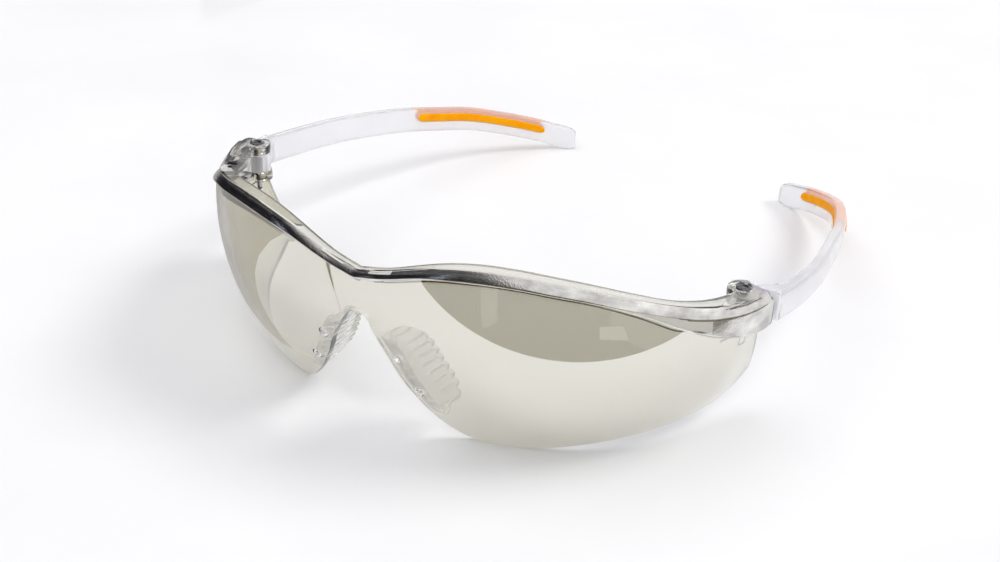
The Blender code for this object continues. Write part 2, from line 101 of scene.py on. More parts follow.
# Temples
TEMPLE_REACH, TEMPLE_INSET = 119.0 * MM, 36.0 * MM
ARM_THICKNESS, ARM_HEIGHT = 3.0 * MM, 7.5 * MM
ARM_START, ARM_END = 0.052, 0.998
ARM_DROP, TIP_PRESS = 1.1 * MM, 1.1 * MM
DIRECTION_STEP = 0.004  # share of the reach over which the temple's direction is taken
ARM_SECTION = 0.45  # how square the section is: 1 would be an ellipse, and 0 a rectangle
ARM_END_LENGTH, ARM_END_SCALE = 0.45, 0.6  # a rounded end, as shares of the half height and of the section
NECK_LENGTH, KNUCKLE_OVERLAP, BORE_PAST = 4 * MM, 0.01 * MM, 1 * MM
GRIP_HEIGHT, GRIP_LIFT, GRIP_PROUD = 3.3 * MM, 0.95 * MM, 0.22 * MM
# Each face of the grip, the slope behind it, and the web that joins both faces as a share of their height
GRIP_DEPTH, GRIP_SLOPE, GRIP_WEB = 0.7 * MM, 0.3 * MM, 0.3
GRIP_SECTION, GRIP_POINTS = 0.6, 72  # how square the section is, and its points
GRIP_START, GRIP_END = 0.595, 0.950

# Nose pads
PAD_RIBS, STATIONS_PER_RIB, RIB_SHARPNESS = 9, 12, 0.7
PAD_END_NARROWING, PAD_TIP, PAD_TIP_THINNING = 0.45, 0.06, 0.5  # shares of depth, half length and thickness
PAD_DEPTH, PAD_THICKNESS, PAD_RAIL_WIDTH, PAD_FLARE = 9.6 * MM, 2.0 * MM, 4.2 * MM, 0.8 * MM
PAD_ROOT, PAD_ROUND = 1.2 * MM, 0.6 * MM  # the wing's foot on the rail, and its rounded edge
RIB_HEIGHT = 0.7 * MM
PEG_RADIUS, PEG_INSET, PEG_HEIGHTS = 1.1 * MM, 2.6 * MM, (21.6 * MM, 13.6 * MM)

# Heights in mm at angles round the lens
LOWER_EDGE = ((-15.4, 30.6), (-13.2, 29.8), (-10.9, 26.2), (-8, 21.4), (-5.8, 16.6), (-2.7, 11.3),
              (0.7, 6.8), (5.2, 2.8), (9.5, 0.7), (13, 0.0), (20, 0.0), (26, 0.4), (34, 1.6),
              (44, 2.8), (55, 3.8), (66, 4.4), (71, 5.2), (75.5, 7.4), (78, 11.5))
UPPER_BORDER = ((-15.4, 38.2), (-8.6, 39.7), (2.6, 43.1), (12.2, 44.4), (21.2, 44.4), (29.6, 43.3),
                (38, 41.5), (46.6, 38.2), (55.7, 33.2), (62.9, 29.6), (71, 27.4), (78, 26.8))
BROW_TOP = ((-15.4, 40.1), (-8.6, 41.6), (2.6, 45.2), (12.2, 46.8), (21.2, 46.8), (29.6, 45.7),
            (38, 43.9), (46.6, 41.3), (55.7, 38.2), (62.9, 36.6), (70, 36.0), (78, 35.9))
# Temple centre line: shares of its reach, its inset and its drop
TEMPLE_LINE = ((0.0, 0.012, -0.035), (0.0477, 0.0, 0.0), (0.17, -0.028, 0.09),
               (0.30, -0.020, 0.17), (0.425, 0.034, 0.257), (0.55, 0.097, 0.365),
               (0.66, 0.188, 0.48), (0.77, 0.31, 0.60), (0.86, 0.476, 0.735),
               (0.936, 0.687, 0.865), (0.98, 0.875, 0.96), (1.0, 1.0, 1.0))

# Materials of the shield's faces
LENS_LOOK, MOULDED_LOOK, BROW_LOOK, INNER_LOOK, REAR_RIM_SHADE_LOOK = range(5)
BROW_FACING, COATED_FACING = 0.5, 0.55  # how squarely a face looks outward to be coated
BEVEL_COATED = 1.1  # how far down the brow the thick coating reaches, in heights of the bevel
REAR_RIM, RIM_FACING = 1.2, 0.8  # the rear rim, tinted dark as painted shade: its width in degrees, and the facing that it leaves out
FROSTED_FACING = 0.35  # how squarely a face looks ahead to be frosted

# Light of the room: as it is seen, and as it falls on things
ROOM_SEEN, ROOM_LIGHT = (0.93, 0.93, 0.935), (0.50, 0.505, 0.54)

# The room in reflections, along an axis to its bright side: places on the axis, and light
BRIGHT_SIDE = (0.60, 0.65, 0.46)
ROOM_REFLECTED = ((0.0, (0.010, 0.009, 0.010)), (0.50, (0.012, 0.013, 0.02)), (0.565, (0.28, 0.27, 0.26)),
                  (0.635, (0.90, 0.90, 0.91)), (1.0, (1.0, 1.0, 1.0)))

# What the lens mirrors, lying just over the table: outlines in mm from the hinge line, and light
PANEL_HEIGHT, PANEL_STEP = 0.8 * MM, 0.2 * MM
PANELS = (
    ("reflected_shade", ((-21, -43), (-43, -42), (-57, -43), (-70, -47), (-86, -60), (-111, -93),
                         (-145, -166), (-1500, -2600), (-3000, -2600), (-3000, 1500), (-300, 220),
                         (-85, -5), (-50, -30)), (0.70, 0.69, 0.66)),
    ("reflected_shade_far", ((-30, -40), (-44, -41), (-58, -44), (-73, -52), (-92, -71), (-120, -112),
                             (-158, -190), (-1600, -2600), (-3000, -2600), (-3000, 1500), (-300, 220),
                             (-85, -5), (-50, -30)), (0.50, 0.48, 0.46)),
    ("reflected_dark", ((-230, -100), (-230, 1500), (-3000, 1500), (-3000, -600)), (0.03, 0.03, 0.04)),
    ("reflected_desk", ((-2100, -2260), (0, -2260), (2260, -2260), (2260, 2160), (126.8, 0), (63.4, -64.3)),
     (0.10, 0.075, 0.03)),
    ("reflected_books", ((33, -109), (47, -124), (85, -330), (110, -900), (60, -900), (40, -330)),
     (0.22, 0.19, 0.135)),
    ("reflected_side", ((96, -31.2), (112, -66), (200, -115), (1500, -500), (1500, 1392)),
     (0.19, 0.17, 0.12)),
    ("reflected_papers", ((98, -64), (117, -78), (124, -60), (104, -46)), (0.36, 0.33, 0.27)),
)
LAMP_PLACE, LAMP_RADIUS, LAMP_SIDES = (-0.50, -0.555, 0.695), 0.055, 24
LAMP_LIGHT = (1.2, 1.4, 1.7)

# Camera: its place, with how far it is ahead of the hinge line, its axes, and its lens in mm
CAMERA_X, CAMERA_AHEAD, CAMERA_HEIGHT = 0.13626, 0.21668, 0.16134
CAMERA_RIGHT, CAMERA_UP = (0.85172, 0.52339, 0.02511), (-0.27679, 0.40870, 0.86969)
SENSOR_WIDTH, FOCAL_LENGTH = 36.0, 44.04

TABLE_SIZE, TABLE_BELOW, TABLE_SQUARES = 3.0, 0.2 * MM, 8  # half its side, its drop, squares along a side

# How finely the meshes are made
LENS_ROWS = 34
SECTION_STEP, FINE_STEP = 0.9, 0.22  # degrees
END_STEPS = 10
NOSE_EDGE_END, HALVINGS = 12.0, 30  # where the search for the nose edge ends, and its steps


# ---------------------------------------------------------------- curves and meshes

def through(points, x):
    """The smooth curve through the points, read at x."""
    last = len(points) - 1
    i = max(0, min(last - 1, sum(p[0] <= x for p in points) - 1))

    def slope(j):
        a, b = points[max(0, j - 1)], points[min(last, j + 1)]
        return (b[1] - a[1]) / (b[0] - a[0])

    (x0, y0), (x1, y1) = points[i], points[i + 1]
    span = x1 - x0
    t = (x - x0) / span
    return ((1 + 2 * t) * (1 - t) ** 2 * y0 + t * (1 - t) ** 2 * span * slope(i)
            + t * t * (3 - 2 * t) * y1 + t * t * (t - 1) * span * slope(i + 1))


def ease(t):
    t = max(0.0, min(1.0, t))
    return t * t * (3 - 2 * t)


def rounded(outline, radii, steps=6):
    """The closed outline with its corners turned into curves that reach a radius along each side."""
    points = []
    for i, corner in enumerate(outline):
        if radii[i] == 0:
            points.append(corner)
            continue
        before = outline[i - 1] - corner
        after = outline[(i + 1) % len(outline)] - corner
        reach = min(radii[i], before.length * CORNER_REACH, after.length * CORNER_REACH)
        start = corner + before.normalized() * reach
        end = corner + after.normalized() * reach
        for k in range(steps + 1):
            t = k / steps
            points.append(start * (1 - t) ** 2 + corner * (2 * t * (1 - t)) + end * t * t)
    return points


def loft(sections):
    """A closed skin over the sections, in order, with a flat face at each end."""
    bm = bmesh.new()
    rings = [[bm.verts.new(point) for point in section] for section in sections]
    for ring, after in zip(rings, rings[1:]):
        for i in range(len(ring)):
            k = (i + 1) % len(ring)
            bm.faces.new((ring[i], ring[k], after[k], after[i]))
    bm.faces.new(rings[0])
    bm.faces.new(reversed(rings[-1]))
    return bm


def add_cylinder(bm, centre, axis, radius, low, high, sides=48):
    found = bmesh.ops.create_cone(bm, cap_ends=True, segments=sides, radius1=radius, radius2=radius,
                                  depth=high - low)
    axis = Vector(axis).normalized()
    turn = Vector((0, 0, 1)).rotation_difference(axis).to_matrix()
    bmesh.ops.rotate(bm, verts=found["verts"], matrix=turn)
    bmesh.ops.translate(bm, verts=found["verts"], vec=Vector(centre) + axis * (low + high) / 2)


def new_object(bm, name, sharp=38.0):
    bmesh.ops.recalc_face_normals(bm, faces=bm.faces)
    mesh = bpy.data.meshes.new(name)
    bm.to_mesh(mesh)
    bm.free()
    mesh.shade_smooth()
    mesh.set_sharp_from_angle(angle=math.radians(sharp))
    obj = bpy.data.objects.new(name, mesh)
    bpy.context.scene.collection.objects.link(obj)
    return obj


def boolean(obj, bm, operation):
    """Joins or cuts with the bmesh, and applies the result to the mesh."""
    tool = new_object(bm, "tool")
    modifier = obj.modifiers.new(operation, "BOOLEAN")
    modifier.operation, modifier.solver, modifier.object = operation, "EXACT", tool
    apply_modifiers(obj)
    bpy.data.objects.remove(tool)


def apply_modifiers(obj):
    bpy.context.view_layer.update()
    graph = bpy.context.evaluated_depsgraph_get()
    mesh = bpy.data.meshes.new_from_object(obj.evaluated_get(graph))
    obj.modifiers.clear()
    obj.data = mesh


def smooth(obj, sharp):
    obj.data.validate()
    obj.data.shade_smooth()
    obj.data.set_sharp_from_angle(angle=math.radians(sharp))


# ---------------------------------------------------------------- shield

def outward(angle):
    """The level direction out of the lens: it flattens over the bridge, and points ahead at the middle."""
    if angle <= 0:
        angle = angle * BRIDGE_FLATTEN * max(0.0, 1 - (angle / BRIDGE_ANGLE) ** 2)
    turn = math.radians(angle)
    return Vector((math.sin(turn) / LENS_RADIUS.x, -math.cos(turn) / LENS_RADIUS.y, 0)).normalized()


def lens_point(angle, height, out=0.0):
    """The point of the lens surface at an angle and a height, moved out level by a distance."""
    rise = (height - LENS_CENTRE.z) / LENS_RADIUS.z
    spread = math.sqrt(1 - rise * rise)
    radius = LENS_RADIUS.x * spread
    turn = math.radians(angle)
    back = turn
    if angle < 0:
        meet = -math.asin(LENS_CENTRE.x / radius)
        share = angle / BRIDGE_ANGLE
        turn = meet * share
        back = meet * BRIDGE_FLATTEN * (share - share ** 3 / 3) * BRIDGE_SETBACK
    x = LENS_CENTRE.x + radius * math.sin(turn)
    y = LENS_CENTRE.y - LENS_RADIUS.y * spread * math.cos(back) - LENS_RAKE * (height - LENS_CENTRE.z)
    return Vector((x, y, height)) + outward(angle) * out


def block_share(angle):
    """How much of the hinge block there is at an angle: from 0 on the brow to 1 at the hinge."""
    return ease((angle - BLOCK_START) / (BLOCK_FULL - BLOCK_START))


def stand_out(angle):
    """How far the brow's face stands out from the lens surface."""
    return STEP_ABOVE_LENS + (BLOCK_ABOVE_LENS - STEP_ABOVE_LENS) * block_share(angle)


def zone_relief(angle, height):
    """The bridge lies a little behind the optical part of the lens, with a short slope between them."""
    edge = ZONE_ANGLE - ZONE_LEAN * (ZONE_HEIGHT - height)
    return -ZONE_STEP * (1 - ease((angle - edge) / ZONE_SPAN + 0.5))


def turned_over(angle):
    """How far the block's rear end has turned over: 0 before it starts, 1 at the end."""
    t = max(0.0, min(1.0, (angle - BLOCK_END) / END_ROUND + 1))
    return 1 - math.sqrt(1 - t * t)


def shield_section(angle):
    """The outline at an angle: up the lens, round the brow, down the wall, and down the back of the lens."""
    low = max(0.0, through(LOWER_EDGE, angle) * MM)
    border = through(UPPER_BORDER, angle) * MM
    high = through(BROW_TOP, angle) * MM - SKIN
    top = high - END_DROP * turned_over(angle)
    share = block_share(angle)
    out = stand_out(angle)
    skin = out - END_TUCK * turned_over(angle)
    growth = ease((angle - BRIDGE_ANGLE) / LEDGE_GROWTH)
    depth = BRIDGE_LEDGE_DEPTH + (LEDGE_DEPTH - BRIDGE_LEDGE_DEPTH) * growth
    ledge_in = out - BROW_BEVEL - depth - (BLOCK_LEDGE_DEPTH - LEDGE_DEPTH) * share
    ledge_thickness = LEDGE_THICKNESS + (LUG_THICKNESS - LEDGE_THICKNESS) * share
    wall_in = out - WALL_THICKNESS
    block_floor = KNUCKLE_LOW - FIT
    rise = block_floor - FIT - UPPER_BORDER[-1][1] * MM
    floor = border - WALL_BELOW_BORDER + (rise + WALL_BELOW_BORDER) * ease(share * FLOOR_RATE)
    floor = min(floor, max(block_floor, border + FLOOR_ABOVE_BORDER))
    back_top = floor - BACK_BELOW_FLOOR
    sweep = LENS_SWEEP * ease((angle - SWEEP_START) / (BLOCK_END - SWEEP_START))
    rows = [i / LENS_ROWS for i in range(LENS_ROWS + 1)]
    heights = [low + (border - low) * t for t in rows]
    face = [lens_point(angle + sweep * (1 - t), height, zone_relief(angle, height))
            for t, height in zip(rows, heights)]
    back = [lens_point(angle + sweep * t, back_top + (low - back_top) * t, -LENS_THICKNESS) for t in rows]

    def brow(offset, height):
        point = lens_point(angle, border, offset)
        return Vector((point.x, point.y, height))

    bevel_low = max(top - BROW_BEVEL, border + 2 * STEP_RISE)
    frame_points = [  # each corner, and its radius in mm
        (brow(skin, border + STEP_RISE), 0.22 + 1.2 * share),
        (brow(skin, bevel_low), 0.4 + 1.6 * share),
        (brow(skin - BROW_BEVEL / 2 + BROW_CROWN, (bevel_low + top) / 2 + BROW_CROWN), 0.0),
        (brow(skin - BROW_BEVEL, top), 0.3 + 1.0 * share),
        (brow(ledge_in, top), 0.35),
        (brow(ledge_in, high - ledge_thickness), 0.3),
        (brow(wall_in, high - ledge_thickness), 0.5),
        (brow(wall_in, floor), 0.2),
    ]
    outline = face + [point for point, _ in frame_points] + back
    radii = [0.0] * len(face) + [r * MM for _, r in frame_points] + [0.0] * len(back)
    radii[0] = radii[-1] = LENS_EDGE_RADIUS
    section = rounded(outline, radii)
    if angle <= BRIDGE_ANGLE:
        for point in section:
            point.x = 0.0
    return section


def lug_prism(bm, side, low, high, in_block):
    """A lug round the pin. The upper one ends inside the block, the lower one inside the lens wall."""
    radius = KNUCKLE_RADIUS + LUG_MARGIN
    arc = [(PIN_X + radius * math.cos(turn), HINGE_Y + radius * math.sin(turn))
           for turn in (math.radians(LUG_ARC_START + LUG_ARC * i / LUG_ARC_STEPS)
                        for i in range(LUG_ARC_STEPS + 1))]
    depths = [stand_out(angle) - WALL_THICKNESS / 2 if in_block else -LENS_THICKNESS / 2
              for angle in LUG_ANGLES]
    wall = [lens_point(angle, LENS_CENTRE.z, depth) for angle, depth in zip(LUG_ANGLES, depths)]
    outline = [Vector((side * x, y, 0)) for x, y in arc + [(p.x, p.y) for p in wall]]
    middle = sum(outline, Vector()) / len(outline)
    near = LUG_EDGE * 0.3  # the point of the rounded edge on its diagonal
    rings = []
    for inset, height in ((LUG_EDGE, low), (near, low + near), (0, low + LUG_EDGE),
                          (0, high - LUG_EDGE), (near, high - near), (LUG_EDGE, high)):
        ring = []
        for point in outline:
            toward = (middle - point).normalized() * inset
            ring.append(Vector((point.x + toward.x, point.y + toward.y, height)))
        rings.append(ring)
    part = loft(rings)
    mesh = bpy.data.meshes.new("lug")
    bmesh.ops.recalc_face_normals(part, faces=part.faces)
    part.to_mesh(mesh)
    part.free()
    bm.from_mesh(mesh)
    bpy.data.meshes.remove(mesh)


def nose_edge_angle(height):
    """The angle where the lens's lower edge, on its way down from the bridge, passes a height."""
    low, high = BRIDGE_ANGLE, NOSE_EDGE_END
    for _ in range(HALVINGS):
        middle = (low + high) / 2
        if through(LOWER_EDGE, middle) * MM > height:
            low = middle
        else:
            high = middle
    return low


def nose_point(height, inset, back):
    """The point at a height, in from the nose edge and behind the back of the lens."""
    angle = nose_edge_angle(height) + math.degrees(inset / LENS_RADIUS.x)
    return lens_point(angle, height, -LENS_THICKNESS - back)


def peg_line(side, height):
    """The middle of a peg in the lens, and its axis outward."""
    inner = nose_point(height, PEG_INSET, 0)
    outer = nose_point(height, PEG_INSET, -LENS_THICKNESS)
    middle, axis = (inner + outer) / 2, outer - inner
    return Vector((side * middle.x, middle.y, middle.z)), Vector((side * axis.x, axis.y, axis.z))


def make_shield():
    bend = BLOCK_END - END_ROUND
    angles = [BRIDGE_ANGLE]
    while angles[-1] < bend - SECTION_STEP:
        fine = ZONE_FINE[0] < angles[-1] < ZONE_FINE[1]
        angles.append(angles[-1] + (FINE_STEP if fine else SECTION_STEP))
    angles += [bend + END_ROUND * math.sin(math.pi / 2 * i / END_STEPS) for i in range(END_STEPS + 1)]
    half = [shield_section(angle) for angle in angles]
    other = [[Vector((-p.x, p.y, p.z)) for p in section] for section in reversed(half[1:])]
    bm = loft(other + half)
    ends = [edge for edge in bm.edges if any(len(face.verts) > 4 for face in edge.link_faces)]
    bmesh.ops.bevel(bm, geom=ends, offset=REAR_EDGE, segments=3, profile=0.5, affect="EDGES")
    shield = new_object(bm, "mirror_shield")
    lugs = bmesh.new()
    for side, _ in SIDES:
        lug_prism(lugs, side, KNUCKLE_TOP + FIT, HINGE_TOP - LUG_SINK, True)
        lug_prism(lugs, side, KNUCKLE_LOW - FIT - LUG_THICKNESS, KNUCKLE_LOW - FIT, False)
    boolean(shield, lugs, "UNION")
    holes = bmesh.new()
    through_lug = KNUCKLE_LOW - 2.5 * LUG_THICKNESS
    for side, _ in SIDES:
        pin = Vector((side * PIN_X, HINGE_Y, 0))
        add_cylinder(holes, pin, (0, 0, 1), PIN_RADIUS + FIT, through_lug, HINGE_TOP - PIN_HEAD_HEIGHT)
        for height in PEG_HEIGHTS:
            start, axis = peg_line(side, height)
            add_cylinder(holes, start, axis, PEG_RADIUS + FIT / 2, -2 * LENS_THICKNESS, 2 * LENS_THICKNESS)
    boolean(shield, holes, "DIFFERENCE")
    seats = bmesh.new()
    for side, _ in SIDES:
        pin = Vector((side * PIN_X, HINGE_Y, 0))
        add_cylinder(seats, pin, (0, 0, 1), PIN_HEAD_RADIUS + FIT, HINGE_TOP - PIN_HEAD_HEIGHT - FIT,
                     HINGE_TOP + 2 * MM)
    boolean(shield, seats, "DIFFERENCE")
    smooth(shield, sharp=38)
    return shield


# ---------------------------------------------------------------- nose pads

def make_pad(side, word):
    stations = PAD_RIBS * STATIONS_PER_RIB
    top, bottom = PAD_HIGH.z, PAD_LOW.z
    sections = []
    for i in range(stations + 1):
        t = i / stations
        height = top + (bottom - top) * t
        rib = RIB_HEIGHT * abs(math.sin(math.pi * PAD_RIBS * t)) ** RIB_SHARPNESS
        end = 1 - PAD_END_NARROWING * (2 * t - 1) ** 4
        tip = 1 - PAD_TIP_THINNING * max(0.0, abs(2 * t - 1) - (1 - PAD_TIP)) / PAD_TIP
        depth = PAD_DEPTH * end + rib
        front = nose_point(height, FIT, FIT)
        rail = nose_point(height, PAD_RAIL_WIDTH, FIT)
        wing = (PAD_THICKNESS + rib) * tip
        thick = PAD_THICKNESS * tip
        corners = [  # along the rail from the nose edge, round the wing and back, with radii in mm
            (front.x, front.y, 0.3), (rail.x, rail.y, 0.5), (rail.x, rail.y + thick, 0.7),
            (front.x + thick + PAD_ROOT, rail.y + thick + 0.2 * MM, 0.6),
            (front.x + wing + PAD_FLARE * 0.4, front.y + depth * 0.5, 0.8),
            (front.x + wing + PAD_FLARE, front.y + depth - PAD_ROUND, 0.6),
            (front.x + wing / 2 + PAD_FLARE, front.y + depth, 0.6),
            (front.x + PAD_FLARE - rib / 2, front.y + depth - PAD_ROUND, 0.6),
            (front.x + PAD_FLARE * 0.4 - rib / 2, front.y + depth * 0.5, 0.8),
            (front.x - rib / 4, front.y + thick + 0.4 * MM, 0.5),
        ]
        outline = [Vector((side * x, y, height)) for x, y, _ in corners]
        sections.append(rounded(outline, [r * MM for _, _, r in corners], steps=3))
    pad = new_object(loft(sections), f"soft_nose_pad_{word}", sharp=60)
    pegs = bmesh.new()
    for height in PEG_HEIGHTS:
        start, axis = peg_line(side, height)
        add_cylinder(pegs, start, axis, PEG_RADIUS, -LENS_THICKNESS / 2 - PAD_THICKNESS,
                     LENS_THICKNESS / 2 - 0.1 * MM, sides=32)
    boolean(pad, pegs, "UNION")
    smooth(pad, sharp=50)
    return pad


# ---------------------------------------------------------------- temples

def temple_point(share, side):
    """The centre of the temple at a share of its reach."""
    inset = through([(a, b) for a, b, _ in TEMPLE_LINE], share) * TEMPLE_INSET
    start = (KNUCKLE_LOW + KNUCKLE_TOP) / 2 - ARM_DROP
    drop = start - ARM_HEIGHT / 2 + TIP_PRESS
    height = start - drop * through([(a, c) for a, _, c in TEMPLE_LINE], share)
    return Vector((side * (HALF_WIDTH - ARM_THICKNESS / 2 - inset), HINGE_Y + TEMPLE_REACH * share, height))


def bar_section(share, side, half_width, half_height, lift=0.0, corner=ARM_SECTION, points=32):
    """A rounded rectangle across the temple's line, which never goes below the table."""
    ahead = temple_point(min(1.0, share + DIRECTION_STEP), side) - temple_point(share - DIRECTION_STEP, side)
    normal = Vector((side * ahead.y, -side * ahead.x, 0)).normalized()
    centre = temple_point(share, side)
    ring = []
    for i in range(points):
        turn = 2 * math.pi * (i + 0.5) / points
        c, s = math.cos(turn), math.sin(turn)
        u = math.copysign(abs(c) ** corner, c) * half_width
        v = math.copysign(abs(s) ** corner, s) * half_height
        point = centre + normal * u
        ring.append(Vector((point.x, point.y, max(0.0, centre.z + lift + v))))
    return ring


def round_ends(first, last, reach, steps=7):
    """Stations between two shares, with the size of the section at each: it closes in a round end."""
    turns = [math.pi / 2 * i / steps for i in range(steps + 1)]
    start = [(first + reach * (1 - math.cos(t)), math.sin(t)) for t in turns]
    end = [(last - reach * (1 - math.cos(t)), math.sin(t)) for t in reversed(turns)]
    count = 60
    inner = [(first + reach + (last - first - 2 * reach) * i / count, 1.0) for i in range(1, count)]
    return start[1:] + inner + end[:-1]


def make_arm(side, word):
    reach = ARM_END_LENGTH * ARM_HEIGHT / 2 / TEMPLE_REACH
    sections = []
    for share, size in round_ends(ARM_START, ARM_END, reach):
        scale = ARM_END_SCALE + (1 - ARM_END_SCALE) * size
        sections.append(bar_section(share, side, ARM_THICKNESS / 2 * scale, ARM_HEIGHT / 2 * scale))
    arm = new_object(loft(sections), f"clear_temple_{word}")
    front = HINGE_Y + TEMPLE_REACH * ARM_START
    inner, outer = HALF_WIDTH - ARM_THICKNESS, HALF_WIDTH
    rear = front + NECK_LENGTH
    # From the knuckle, out to the arm's front, along inside the arm, and back
    neck = [(PIN_X - KNUCKLE_RADIUS * 0.75, HINGE_Y), (PIN_X + KNUCKLE_RADIUS * 0.9, HINGE_Y),
            (inner - 0.1 * MM, front + 0.1 * MM), (outer - 0.5 * MM, front + 0.2 * MM),
            (outer - 0.4 * MM, rear), (inner + 0.5 * MM, rear), (PIN_X + 0.5 * MM, front + 0.8 * MM)]
    boolean(arm, loft([[(side * x, y, z) for x, y in neck] for z in (KNUCKLE_LOW, KNUCKLE_TOP)]), "UNION")
    knuckle = bmesh.new()
    add_cylinder(knuckle, (side * PIN_X, HINGE_Y, 0), (0, 0, 1), KNUCKLE_RADIUS,
                 KNUCKLE_LOW - KNUCKLE_OVERLAP, KNUCKLE_TOP + KNUCKLE_OVERLAP, ROUND_SIDES)
    boolean(arm, knuckle, "UNION")
    bore = bmesh.new()
    add_cylinder(bore, (side * PIN_X, HINGE_Y, 0), (0, 0, 1), PIN_RADIUS + FIT,
                 KNUCKLE_LOW - BORE_PAST, KNUCKLE_TOP + BORE_PAST)
    boolean(arm, bore, "DIFFERENCE")
    smooth(arm, sharp=38)
    return arm


def make_grip(side, word):
    """A soft strip with round ends on both faces of the arm, a little proud, joined by a web through it."""
    reach = GRIP_HEIGHT / 2 / TEMPLE_REACH
    half_width = ARM_THICKNESS / 2 + GRIP_PROUD
    sections = []
    for share, size in round_ends(GRIP_START, GRIP_END, reach):
        half_height = GRIP_HEIGHT / 2 * size
        ring = bar_section(share, side, half_width, half_height, GRIP_LIFT, GRIP_SECTION, GRIP_POINTS)
        centre = sum(ring, Vector()) / len(ring)
        for point in ring:
            across = math.hypot(point.x - centre.x, point.y - centre.y)
            web = ease((half_width - GRIP_DEPTH - across) / GRIP_SLOPE + 0.5)
            point.z = centre.z + (point.z - centre.z) * (1 - (1 - GRIP_WEB) * web)
        sections.append(ring)
    return new_object(loft(sections), f"orange_grip_{word}", sharp=60)


# ---------------------------------------------------------------- pins

def make_pin(side, word):
    """A turned pin: a thin shank under a head with a rounded rim and a dished middle."""
    low = KNUCKLE_LOW - FIT - LUG_THICKNESS
    head = HINGE_TOP - PIN_HEAD_HEIGHT
    profile = [(0.0, low), (PIN_TIP_RADIUS, low), (PIN_RADIUS, low + PIN_TIP_HEIGHT), (PIN_RADIUS, head),
               (HEAD_SEAT_RADIUS, head), (PIN_HEAD_RADIUS, head + HEAD_SEAT_HEIGHT),
               (PIN_HEAD_RADIUS, HINGE_TOP - HEAD_RIM_DROP)]
    profile += [(radius * MM, HINGE_TOP + rise * MM) for radius, rise in PIN_HEAD]
    bm = bmesh.new()
    rings = []
    for radius, height in profile:
        if radius == 0:
            rings.append([bm.verts.new((side * PIN_X, HINGE_Y, height))])
            continue
        rings.append([bm.verts.new((side * PIN_X + radius * math.cos(2 * math.pi * i / ROUND_SIDES),
                                    HINGE_Y + radius * math.sin(2 * math.pi * i / ROUND_SIDES), height))
                      for i in range(ROUND_SIDES)])
    for ring, after in zip(rings, rings[1:]):
        for i in range(ROUND_SIDES):
            k = (i + 1) % ROUND_SIDES
            corners = [ring[i % len(ring)], ring[k % len(ring)], after[k % len(after)], after[i % len(after)]]
            bm.faces.new(dict.fromkeys(corners))
    return new_object(bm, f"steel_pin_{word}", sharp=42)


# ---------------------------------------------------------------- materials

class Nodes:
    """A new material with one Principled shader, and short calls to add nodes to it."""

    def __init__(self, name, **values):
        self.material = bpy.data.materials.new(name)
        self.material.use_nodes = True
        self.tree = self.material.node_tree
        self.shader = self.tree.nodes["Principled BSDF"]
        for socket, value in values.items():
            value = (*value, 1.0) if isinstance(value, tuple) else value
            self.shader.inputs[socket.replace("_", " ")].default_value = value
        self.place = self.tree.nodes.new("ShaderNodeTexCoord").outputs["Object"]

    def noise(self, scale, detail=3.0, stretch=(1, 1, 1)):
        mapping = self.tree.nodes.new("ShaderNodeMapping")
        mapping.inputs["Scale"].default_value = stretch
        node = self.tree.nodes.new("ShaderNodeTexNoise")
        node.inputs["Scale"].default_value = scale
        node.inputs["Detail"].default_value = detail
        self.tree.links.new(self.place, mapping.inputs["Vector"])
        self.tree.links.new(mapping.outputs["Vector"], node.inputs["Vector"])
        return node.outputs["Fac"]

    def spread(self, value, low, high, start=0.3, end=0.7):
        node = self.tree.nodes.new("ShaderNodeMapRange")
        for socket, number in (("From Min", start), ("From Max", end), ("To Min", low), ("To Max", high)):
            node.inputs[socket].default_value = number
        self.tree.links.new(value, node.inputs["Value"])
        return node.outputs["Result"]

    def colours(self, value, first, second):
        node = self.tree.nodes.new("ShaderNodeValToRGB")
        ramp = node.color_ramp.elements
        ramp[0].position, ramp[1].position = 0.3, 0.7
        ramp[0].color, ramp[1].color = (*first, 1.0), (*second, 1.0)
        self.tree.links.new(value, node.inputs["Fac"])
        return node.outputs["Color"]

    def use(self, value, socket):
        self.tree.links.new(value, self.shader.inputs[socket])

    def bump(self, value, strength, distance):
        node = self.tree.nodes.new("ShaderNodeBump")
        node.inputs["Strength"].default_value = strength
        node.inputs["Distance"].default_value = distance
        self.tree.links.new(value, node.inputs["Height"])
        self.tree.links.new(node.outputs["Normal"], self.shader.inputs["Normal"])


def coated_lens():
    """Clear polycarbonate under a light mirror coating, with faint wipe marks."""
    nodes = Nodes("coated_polycarbonate", Base_Color=(0.90, 0.885, 0.84), Metallic=0.41, IOR=1.585,
                  Transmission_Weight=1.0)
    wipe = nodes.noise(90, detail=4, stretch=(1, 1, 0.35))
    nodes.use(nodes.spread(wipe, 0.012, 0.05), "Roughness")
    nodes.bump(nodes.noise(35, detail=2), strength=0.04, distance=0.0002)
    return nodes.material


def coated_brow():
    """The same coating where it is thickest: a nearly opaque mirror, a little worn."""
    nodes = Nodes("coated_brow", Metallic=0.88, IOR=1.585, Transmission_Weight=1.0)
    worn = nodes.noise(170, detail=4, stretch=(1, 1, 2))
    nodes.use(nodes.colours(worn, (0.42, 0.40, 0.39), (0.93, 0.92, 0.89)), "Base Color")
    nodes.use(nodes.spread(nodes.noise(400, detail=5), 0.05, 0.18), "Roughness")
    nodes.bump(nodes.noise(2600, detail=3), strength=0.6, distance=0.00006)
    return nodes.material


def clear_plastic(name, colour, roughness):
    """Clear moulded polycarbonate with slight flow marks."""
    nodes = Nodes(name, Base_Color=colour, IOR=1.585, Transmission_Weight=1.0)
    nodes.use(nodes.spread(nodes.noise(160, detail=4), roughness * 0.6, roughness * 1.6), "Roughness")
    nodes.bump(nodes.noise(60, detail=3), strength=0.05, distance=0.0003)
    return nodes.material


